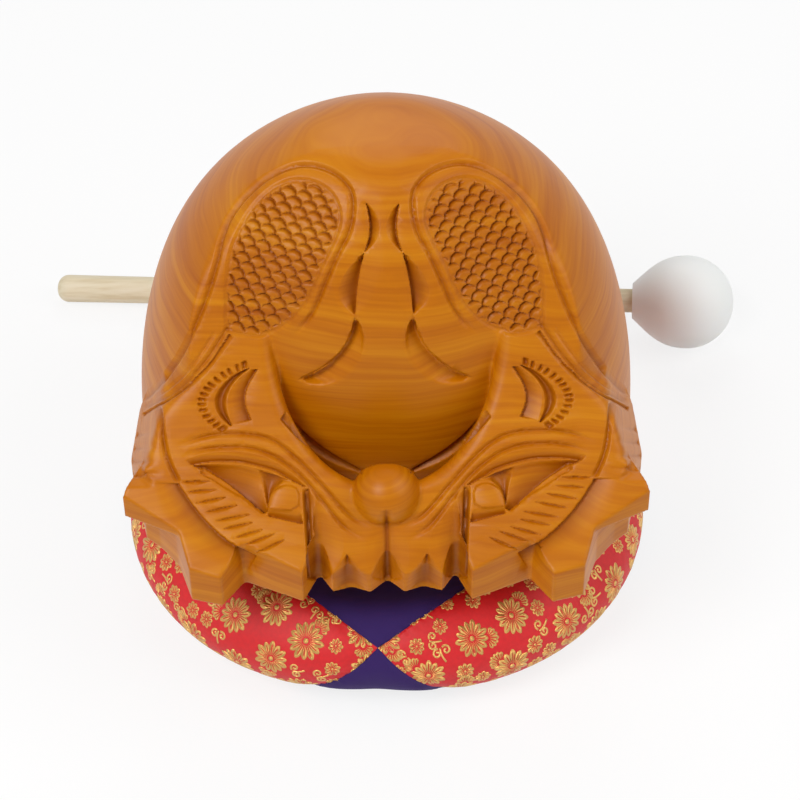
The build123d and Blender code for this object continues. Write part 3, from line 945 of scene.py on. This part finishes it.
points = read_points(cloth_skin.data)
normals = read_points(cloth_skin.data, "normal")
free = (points[:, 2] > SEAM_LOWEST) & ~in_dish(points)
angle = np.arctan2(points[:, 1], points[:, 0])
pucker = PUCKER * np.sin(2 * np.pi * (angle * SEAM_TIP.x + points[:, 2]) / PUCKER_STEP)
drawn = (SEAM_DRAW + pucker) * np.exp(-((to_nearest_seam(points) / SEAM_WIDTH) ** 2)) * free
write_points(cloth_skin.data, points - normals * drawn[:, None])
print("seams drawn in by up to", round(float(drawn.max() / MM), 2), "mm")

# %% Part the six pieces
plain_names = ["cushion_top_panel", "cushion_bottom_panel"]
lozenge_names = [f"cushion_brocade_{corner}" for corner in LOZENGES]
for name in plain_names + lozenge_names:
    cloth_skin.data.materials.append(bpy.data.materials.new(name))
cloth_skin.data.polygons.foreach_set("material_index", piece_of_face)
only(cloth_skin)
bpy.ops.object.mode_set(mode="EDIT")
bpy.ops.mesh.select_all(action="SELECT")
bpy.ops.mesh.separate(type="MATERIAL")
bpy.ops.object.mode_set(mode="OBJECT")
cover = {piece.data.materials[0].name: piece for piece in list(bpy.context.selected_objects)}
for name, piece in cover.items():
    piece.name = f"sewn_{name}"
    piece.data.materials.clear()
    print(name, len(piece.data.polygons), "faces")

# %% [markdown]
# ### The brocade
# Red silk with flowers, buds and scrolls woven in flat gold thread. A picture of the cloth would blur close
# up. The gold lies on top of the silk, so the motifs are cut as flat shapes, in millimetres of cloth, and
# laid on the lozenges through their UV map, which runs round the cushion and up.

# %% Draw a petal and a flower
PETAL_POINTS = 7                          # along one side of a petal
PETAL_SKEW = 1.6                          # above 1, the widest place lies past the middle
PETAL_SPAN = 0.86                         # share of half a wave that the petal's side runs through
PETAL_ROOT = 0.16                         # where on that wave it starts
SLIT = 0.22                               # silk on each side of a petal's middle line, in millimetres
SLIT_SHARE = 0.75                         # of a petal's length
THREAD_LEAST = 0.1
HEART_SHARE = 0.14                        # shares of a flower's reach: its heart, and where its petals start
PETAL_START = 0.22
SHORT_PETAL = 0.93                        # length of every second petal, as a share of the others
PETAL_FILL = 0.72                         # share of its room that a petal takes up
BUD_SIDE_PETALS = 3                       # on each side of the middle one
BUD_SPREAD = 0.34                         # radians from petal to petal
BUD_PETAL_WIDTH = 0.34                    # shares of a bud's reach: a petal's width, and where it starts
BUD_START = 0.3
BUD_SHORTER = 0.05                        # by which each petal is shorter than the one before


def turned(angle):
    """The matrix that turns flat shapes by an angle."""
    return np.array([[math.cos(angle), -math.sin(angle)], [math.sin(angle), math.cos(angle)]])


def petal(reach, width, turn, start):
    """Two halves of one petal, with a slit of silk between them."""
    t = np.linspace(0, 1, PETAL_POINTS)
    along = start + (reach - start) * t
    half = width / 2 * np.sin(np.pi * t**PETAL_SKEW * PETAL_SPAN + PETAL_ROOT)
    slit = np.where(t < SLIT_SHARE, SLIT, 0.0)
    way = np.array([math.cos(turn), math.sin(turn)])
    beside = np.array([-way[1], way[0]])
    halves = []
    for side in (-1, 1):
        inner = along[:, None] * way + side * slit[:, None] * beside
        outer = along[:, None] * way + side * np.maximum(half, slit + THREAD_LEAST)[:, None] * beside
        halves.append(np.vstack([inner, outer[::-1]]))
    return halves


def heart(radius, sides=10):
    """The round middle of a flower."""
    turns = np.arange(sides) * 2 * np.pi / sides
    return [np.column_stack([np.cos(turns), np.sin(turns)]) * radius]


def flower(reach, petals, turn=0.0):
    """An open flower, with every second petal a little shorter."""
    shapes = heart(reach * HEART_SHARE)
    for i in range(petals):
        angle = turn + 2 * np.pi * i / petals
        length = reach * (1.0 if i % 2 else SHORT_PETAL)
        width = 2 * np.pi * length / petals * PETAL_FILL
        shapes += petal(length, width, angle, reach * PETAL_START)
    return shapes


def bud(reach, turn):
    """A half open flower, seen from the side."""
    shapes = []
    for i in range(-BUD_SIDE_PETALS, BUD_SIDE_PETALS + 1):
        length = reach * (1 - BUD_SHORTER * abs(i))
        shapes += petal(length, reach * BUD_PETAL_WIDTH, turn + i * BUD_SPREAD, reach * BUD_START)
    return shapes


print("a large flower has", len(flower(8, 13)), "pieces of gold")

# %% Draw a scroll
CURL_POINTS = 22
CURL_TURN = 7.4                           # radians from a curl's foot to its heart
CURL_START = 0.6
CURL_WIDTH = 0.85
CURL_REACH = 0.46                         # from here on shares of a scroll's size
CURL_TIGHTENS = 0.82
CURL_HEART = (0.1, 0.46)                  # along the stem and beside it
STEM_POINTS = 8
STEM_WIDTH = 0.8
STEM_ENDS = (-0.9, 0.5)
STEM_SWAY = 0.12
SWAY_TURN = 3                             # radians of a wave that the stem sways through


def ribbon(line, width):
    """A line of thread, as short four-sided pieces."""
    line = np.asarray(line)
    way = np.gradient(line, axis=0)
    way /= np.hypot(*way.T)[:, None]
    beside = np.column_stack([-way[:, 1], way[:, 0]]) * width / 2
    left = line + beside
    right = line - beside
    return [np.array([left[i], left[i + 1], right[i + 1], right[i]]) for i in range(len(line) - 1)]


def scroll(size, turn):
    """Two spirals that part from one stem."""
    shapes = []
    for side in (-1, 1):
        t = np.linspace(0, 1, CURL_POINTS)
        spin = side * (t * CURL_TURN - CURL_START)
        reach = size * (1 - CURL_TIGHTENS * t) * CURL_REACH
        curl = np.column_stack([np.cos(spin), np.sin(spin)]) * reach[:, None]
        curl += np.array([size * CURL_HEART[0], side * size * CURL_HEART[1]])
        shapes += ribbon(curl, CURL_WIDTH)
    stem_along = np.linspace(size * STEM_ENDS[0], size * STEM_ENDS[1], STEM_POINTS)
    stem_aside = np.sin(np.linspace(0, SWAY_TURN, STEM_POINTS)) * size * STEM_SWAY
    shapes += ribbon(np.column_stack([stem_along, stem_aside]), STEM_WIDTH)
    return [shape @ turned(turn).T for shape in shapes]


print("a scroll has", len(scroll(4, 0)), "pieces of gold")

# %% [markdown]
# A weaver's pattern fills the cloth evenly and leaves no large gap. Large flowers are strewn first, each
# with a bud, then small blossoms and then scrolls, each only where there is room. The draw has a fixed
# seed, so every run gives the same cloth.

# %% Strew the motifs
MOTIFS = [("flower", 8.8, 500), ("blossom", 3.9, 900), ("scroll", 2.9, 3000)]   # room round it, and tries
CLOTH_FOOT = -4                           # where the strewing starts, below the lozenge's lowest thread
FLOWER_REACH = (7.4, 8.6)                 # smallest and largest, in millimetres
FLOWER_PETALS = 13
BUD_REACH = 5.6
BUD_PLACE = 6.6                           # from the middle of its flower
BLOSSOM_REACH = (3.4, 4.2)
BLOSSOM_PETALS = 9
SCROLL_SIZE = (3.8, 4.6)


def scatter(width, height, seed):
    """Motifs over a piece of cloth, in millimetres."""
    rng = np.random.default_rng(seed)
    placed = []
    shapes = []
    for kind, room, tries in MOTIFS:
        for _ in range(tries):
            spot = rng.uniform((-width / 2, CLOTH_FOOT), (width / 2, height))
            if any(np.hypot(*(spot - other)) < room + other_room for other, other_room in placed):
                continue
            turn = rng.uniform(0, 2 * np.pi)
            if kind == "flower":
                made = flower(rng.uniform(*FLOWER_REACH), FLOWER_PETALS, turn)
                bud_spot = BUD_PLACE * np.array([math.cos(turn), math.sin(turn)])
                made += [shape + bud_spot for shape in bud(BUD_REACH, turn)]
            elif kind == "blossom":
                made = flower(rng.uniform(*BLOSSOM_REACH), BLOSSOM_PETALS, turn)
            else:
                made = scroll(rng.uniform(*SCROLL_SIZE), turn)
            placed.append((spot, room))
            shapes += [shape + spot for shape in made]
    return shapes


print("a hand's width of cloth has", len(scatter(100, 100, 1)), "pieces of gold")

# %% The cloth's own map
GIRTH = 119.0                             # radius of the cushion's girth, in millimetres
SIDE_ROUND = 33.0                         # radius of its rounded side, in millimetres


def cloth_map(points, quarter_turn):
    """Millimetres round the cushion and up over its side, for points of one lozenge."""
    turn = np.arctan2(points[:, 1], points[:, 0]) - quarter_turn
    turn = (turn + np.pi) % (2 * np.pi) - np.pi
    out = np.hypot(points[:, 0], points[:, 1])
    climb = np.arctan2(points[:, 2] - CUSHION_MIDDLE_HEIGHT, np.maximum(out - CUSHION_EDGE, 0.0))
    side_run = SIDE_ROUND * (climb + np.pi / 2)
    over_top = np.maximum(CUSHION_EDGE - out, 0) / MM
    return np.column_stack([turn * GIRTH, side_run + over_top])


def add_cloth_map(mesh, flat):
    """Gives a mesh its UV map from flat places of its points."""
    uv = mesh.uv_layers.new(name="cloth")
    corners = np.empty(len(mesh.loops), int)
    mesh.loops.foreach_get("vertex_index", corners)
    uv.data.foreach_set("uv", flat[corners].ravel())


# %% Lay the gold on a lozenge
GOLD_LIFT = 0.12 * MM
GOLD_THICKNESS = 0.4 * MM                 # most of it sunk in the silk, so that each shape is closed
SAME_SPOT = 0.002 * MM
OFF_CLOTH = 0.4                           # a shape whose nearest corner is this far off the cloth is left out
MOST_OVER_EDGE = 4.0                      # so is one with any corner this far off, in millimetres


def anticlockwise(shape):
    """The shape with its corners in the order that makes its face look outwards."""
    area = np.sum(shape[:, 0] * np.roll(shape[:, 1], -1) - np.roll(shape[:, 0], -1) * shape[:, 1])
    return shape[::-1] if area < 0 else shape


def lay_gold(panel, quarter_turn, seed):
    """A new object with the gold shapes of one lozenge, laid on its cloth."""
    points = read_points(panel.data)
    flat = cloth_map(points, quarter_turn)
    add_cloth_map(panel.data, flat)
    panel.data.calc_loop_triangles()
    triangles = [t.vertices[:] for t in panel.data.loop_triangles]
    flat_points = [Vector((u, v, 0)) for u, v in flat]
    tree = BVHTree.FromPolygons(flat_points, triangles)
    lifted = [Vector(p) for p in points + read_points(panel.data, "normal") * GOLD_LIFT]
    low, high = flat.min(axis=0), flat.max(axis=0)
    gold = bmesh.new()
    gold_uv = gold.loops.layers.uv.new("cloth")
    for shape in scatter(high[0] - low[0], high[1], seed):
        hits = [tree.find_nearest(Vector((u, v, 0))) for u, v in anticlockwise(shape)]
        gaps = [gap for _, _, _, gap in hits]
        if min(gaps) > OFF_CLOTH or max(gaps) > MOST_OVER_EDGE:
            continue
        corners = []
        for place, _, index, _ in hits:
            flat_corners = [flat_points[i] for i in triangles[index]]
            lifted_corners = [lifted[i] for i in triangles[index]]
            corners.append(barycentric_transform(place, *flat_corners, *lifted_corners))
        face = gold.faces.new([gold.verts.new(p) for p in corners])
        for loop, hit in zip(face.loops, hits):
            loop[gold_uv].uv = hit[0].xy
    bmesh.ops.remove_doubles(gold, verts=gold.verts, dist=SAME_SPOT)
    laid = bpy.data.meshes.new(f"{panel.name}_gold")
    gold.to_mesh(laid)
    gold.free()
    made = bpy.data.objects.new(laid.name, laid)
    scene.collection.objects.link(made)
    return made


# %% [markdown]
# ### The cloths
# Silk and cotton are woven, so each gets the fine ribs or threads of its weave. They are finer than a pixel
# of the picture, so they are drawn a little coarser than real ones, and show when one comes close. A bump
# is enough for threads this fine, while the gold, which has a visible edge, is a mesh.

# %% Silk and gold thread
WAVE_PERIOD = 0.314                       # length after which a wave texture of scale 1 repeats
UNEVEN_PATCH = 2.0                        # millimetres of cloth over which its tone changes
RIB_HEIGHT = 0.2 * MM


def woven(name, colour, roughness, rib, depth, metal=0.0):
    """A cloth with weft ribs, which are a size in millimetres of its UV map."""
    made, tree, surface = material(name)
    uv = node(tree, "ShaderNodeUVMap", uv_map="cloth").outputs[0]
    weft = node(tree, "ShaderNodeTexWave",
                {"Vector": uv, "Scale": WAVE_PERIOD / rib, "Distortion": 0.6, "Detail": 1.0},
                bands_direction="Y")
    uneven = node(tree, "ShaderNodeTexNoise", {"Vector": uv, "Scale": 1 / UNEVEN_PATCH, "Detail": 3.0})
    light = node(tree, "ShaderNodeMapRange", {"Value": uneven.outputs["Fac"], "To Min": 0.82, "To Max": 1.16})
    tone = node(tree, "ShaderNodeVectorMath", {0: linear(colour)[:3], "Scale": light.outputs[0]},
                operation="SCALE")
    bump = node(tree, "ShaderNodeBump",
                {"Height": weft.outputs["Fac"], "Strength": depth, "Distance": RIB_HEIGHT})
    tree.links.new(tone.outputs[0], surface.inputs["Base Color"])
    tree.links.new(bump.outputs[0], surface.inputs["Normal"])
    surface.inputs["Roughness"].default_value = roughness
    surface.inputs["Metallic"].default_value = metal
    return made


# Silk: a deep, even red with a soft gloss across its ribs.
red_silk = woven("red silk", "#D3121A", 0.55, 0.45, 0.25)
# Flat metal thread: bright where it faces a lamp and dark where it doesn't.
gold_thread = woven("flat gold thread", "#DDAE63", 0.36, 0.55, 0.6, metal=0.75)
print("made", red_silk.name, "and", gold_thread.name)

# %% Cotton and wadding
THREAD_STEP = 2 / 3 * MM
THREAD_HEIGHT = 0.3 * MM


def plain_cloth(name, colour):
    """A plain cotton cloth with a fine, even weave, which scatters light at its edge."""
    made, tree, surface = material(name)
    place = node(tree, "ShaderNodeTexCoord").outputs["Object"]
    weave = node(tree, "ShaderNodeTexNoise", {"Vector": place, "Scale": 1 / THREAD_STEP, "Detail": 2.0})
    bump = node(tree, "ShaderNodeBump",
                {"Height": weave.outputs["Fac"], "Strength": 0.25, "Distance": THREAD_HEIGHT})
    tree.links.new(bump.outputs[0], surface.inputs["Normal"])
    surface.inputs["Base Color"].default_value = linear(colour)
    surface.inputs["Roughness"].default_value = 0.9
    surface.inputs["Sheen Weight"].default_value = 0.06
    surface.inputs["Sheen Tint"].default_value = linear("#7A5AC8")
    return made


# Cotton: dull and dark, with a faint lighter bloom where one looks along it.
purple_cotton = plain_cloth("purple cotton", "#2B0E57")
# Wadding: loose white fibre, which only shows if a seam opens.
wadding = plain_cloth("cotton wadding", "#E4DECF")
print("made", purple_cotton.name, "and", wadding.name)

# %% Dress the cushion
CLOTH_THICKNESS = 1.2 * MM
FIRST_SEED = 11
QUARTER_TURNS = {"back_right": 45, "back_left": 135, "front_left": 225, "front_right": 315}

for index, (corner, degrees) in enumerate(QUARTER_TURNS.items()):
    name = f"cushion_brocade_{corner}"
    panel = cover[name]
    gold = lay_gold(panel, math.radians(degrees) + CUSHION_TURN, FIRST_SEED + index)
    print(name, len(gold.data.polygons), "gold shapes")
    panel.data.materials.append(red_silk)
    gold.data.materials.append(gold_thread)
    apply_modifier(panel, "SOLIDIFY", thickness=CLOTH_THICKNESS, offset=-1)
    apply_modifier(gold, "SOLIDIFY", thickness=GOLD_THICKNESS, offset=-1)
    only(panel)
    gold.select_set(True)
    bpy.ops.object.join()
for name in plain_names:
    cover[name].data.materials.append(purple_cotton)
    apply_modifier(cover[name], "SOLIDIFY", thickness=CLOTH_THICKNESS, offset=-1)
stuffing.data.materials.append(wadding)
cover["cushion_core"] = stuffing
for name, piece in cover.items():
    shade_smooth(piece.data)
    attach(piece, "cushion")
    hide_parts(name)
print(len(cover), "pieces of cushion")

# %% [markdown]
# ## The striker
# A turned beech stick with a white rubber head. Both are simple turned shapes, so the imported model's own
# meshes stay, and only get their finish.

# %% Striker materials
FIBRE_LENGTH = 55.56 * MM
FIBRE_WIDTH = 2.381 * MM
STICK_TURN = math.radians(6.0)            # turns the pattern in line with the stick
LIGHT_DEPTH = (0.004, 0.004, 0.003)       # metres that red, green and blue light go into the rubber

# Sanded beech: pale and dull, with short darker flecks along the stick.
beech, tree, surface = material("sanded beech")
place = node(tree, "ShaderNodeTexCoord").outputs["Object"]
along_stick = node(tree, "ShaderNodeMapping",
                   {"Vector": place, "Rotation": (0, 0, STICK_TURN),
                    "Scale": (1 / FIBRE_LENGTH, 1 / FIBRE_WIDTH, 1 / FIBRE_WIDTH)})
fibre = node(tree, "ShaderNodeTexNoise", {"Vector": along_stick.outputs[0], "Scale": 1.0, "Detail": 4.0})
colour = node(tree, "ShaderNodeValToRGB", {"Fac": fibre.outputs["Fac"]},
              stops=[(0.3, "#D3C29F"), (0.5, "#DFD2B4"), (0.75, "#E6DBC2")])
tree.links.new(colour.outputs["Color"], surface.inputs["Base Color"])
surface.inputs["Roughness"].default_value = 0.6

# Moulded white rubber: a broad, weak shine, and light that goes in a little, which softens its shaded side.
white_rubber, tree, surface = material("white rubber")
surface.inputs["Base Color"].default_value = linear("#FAFCFA")
surface.inputs["Roughness"].default_value = 0.55
surface.inputs["Subsurface Weight"].default_value = 0.1
surface.inputs["Subsurface Radius"].default_value = LIGHT_DEPTH

for name, finish in (("striker_stick", beech), ("striker_head", white_rubber)):
    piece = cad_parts[name]
    piece.data.materials.clear()
    piece.data.materials.append(finish)
    print(name, "in", finish.name)
